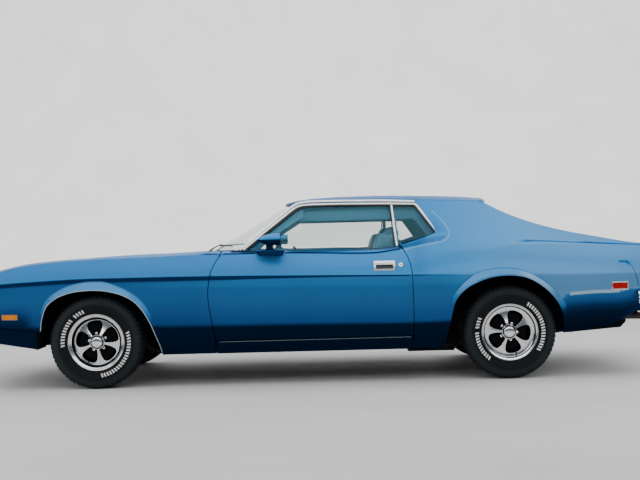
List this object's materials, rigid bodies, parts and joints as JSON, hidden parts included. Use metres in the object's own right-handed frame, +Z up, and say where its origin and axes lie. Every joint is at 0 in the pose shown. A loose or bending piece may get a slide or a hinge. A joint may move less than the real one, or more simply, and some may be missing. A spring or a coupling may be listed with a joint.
{
  "type": "muscle car",
  "caption": "Two-door notchback muscle car with a long hood, short tail, sail panels, chrome five-spoke wheels and doors, lids, steering and wheels that move.",
  "frame": {"origin": "on the ground, below the middle of the car's bounding box", "axes": "+X along the car towards its tail, +Y to the car's right, +Z up; the pictured left side faces -Y"},
  "size_m": [4.813, 1.962, 1.2749],
  "materials": {
    "tyre": "matte",
    "chrome": "polished",
    "glass": "clear, green tint",
    "red_lens": "gloss",
    "amber_lens": "gloss",
    "clear_lens": "clear",
    "blue_vinyl": "satin",
    "blue_plastic": "satin",
    "black_plastic": "satin",
    "cast_iron": "satin",
    "bare_steel": "satin",
    "black_underbody": "satin",
    "blue_paint": "metallic gloss"
  },
  "bodies": {
    "car_body": {"amber_lamps": "amber_lens", "cowl": "blue_paint", "dashboard_and_console": "blue_plastic", "engine_and_drive_line": "cast_iron", "engine_bay": "black_underbody", "exhaust": "bare_steel", "floor_pan": "black_underbody", "frame_and_front_arms": "black_underbody", "front_bumper": "chrome", "front_seats": "blue_vinyl", "front_valance": "blue_paint", "fuel_tank": "bare_steel", "grille": "black_plastic", "headlamps": "clear_lens", "left_front_wing": "blue_paint", "left_rear_quarter": "blue_paint", "rear_axle_and_springs": "black_underbody", "rear_bumper": "chrome", "rear_glass": "glass", "rear_inner_body": "black_underbody", "rear_seat": "blue_vinyl", "red_lamps": "red_lens", "right_front_wing": "blue_paint", "right_rear_quarter": "blue_paint", "roof": "blue_paint", "sills": "blue_paint", "tail_panel": "blue_paint", "windscreen": "glass"},
    "hood": {"hood": "blue_paint"},
    "boot_lid": {"boot_lid": "blue_paint"},
    "left_door": {"left_door": "blue_paint", "left_door_glass": "glass"},
    "right_door": {"right_door": "blue_paint", "right_door_glass": "glass"},
    "left_steered_knuckle": {"left_knuckle": "black_underbody"},
    "right_steered_knuckle": {"right_knuckle": "black_underbody"},
    "front_left_wheel": {"front_left_rim": "chrome", "front_left_tyre": "tyre"},
    "front_right_wheel": {"front_right_rim": "chrome", "front_right_tyre": "tyre"},
    "rear_left_wheel": {"rear_left_rim": "chrome", "rear_left_tyre": "tyre"},
    "rear_right_wheel": {"rear_right_rim": "chrome", "rear_right_tyre": "tyre"},
    "steering_wheel": {"steering_wheel": "blue_plastic"}
  },
  "joints": [
    {"name": "left_door_hinge", "type": "hinge", "parent": "car_body", "child": "left_door", "pos_m": [-0.65, -0.93, 0.55], "axis": [0, 0, -1], "range_deg": [0, 68]},
    {"name": "right_door_hinge", "type": "hinge", "parent": "car_body", "child": "right_door", "pos_m": [-0.65, 0.93, 0.55], "axis": [0, 0, 1], "range_deg": [0, 68]},
    {"name": "hood_hinge", "type": "hinge", "parent": "car_body", "child": "hood", "pos_m": [-0.618, 0, 0.884], "axis": [0, 1, 0], "range_deg": [0, 50]},
    {"name": "boot_lid_hinge", "type": "hinge", "parent": "car_body", "child": "boot_lid", "pos_m": [1.497, 0, 0.903], "axis": [0, -1, 0], "range_deg": [0, 55]},
    {"name": "left_steer", "type": "hinge", "parent": "car_body", "child": "left_steered_knuckle", "pos_m": [-1.4665, -0.706, 0.312], "axis": [0, 0, 1], "range_deg": [-33, 33]},
    {"name": "right_steer", "type": "hinge", "parent": "car_body", "child": "right_steered_knuckle", "pos_m": [-1.4665, 0.706, 0.312], "axis": [0, 0, 1], "range_deg": [-33, 33]},
    {"name": "steering_wheel_turn", "type": "hinge", "parent": "car_body", "child": "steering_wheel", "pos_m": [-0.078, -0.375, 0.738], "axis": [0.9063, 0, 0.4226], "range_deg": [-528, 528]},
    {"name": "front_left_wheel_roll", "type": "hinge", "parent": "left_steered_knuckle", "child": "front_left_wheel", "pos_m": [-1.4665, -0.781, 0.312], "axis": [0, 1, 0], "continuous": true},
    {"name": "front_right_wheel_roll", "type": "hinge", "parent": "right_steered_knuckle", "child": "front_right_wheel", "pos_m": [-1.4665, 0.781, 0.312], "axis": [0, 1, 0], "continuous": true},
    {"name": "rear_left_wheel_roll", "type": "hinge", "parent": "car_body", "child": "rear_left_wheel", "pos_m": [1.3025, -0.775, 0.312], "axis": [0, 1, 0], "continuous": true},
    {"name": "rear_right_wheel_roll", "type": "hinge", "parent": "car_body", "child": "rear_right_wheel", "pos_m": [1.3025, 0.775, 0.312], "axis": [0, 1, 0], "continuous": true}
  ],
  "couplings": [
    {"joint": "right_steer", "follows": "left_steer", "ratio": 1},
    {"joint": "steering_wheel_turn", "follows": "left_steer", "ratio": 16}
  ]
}
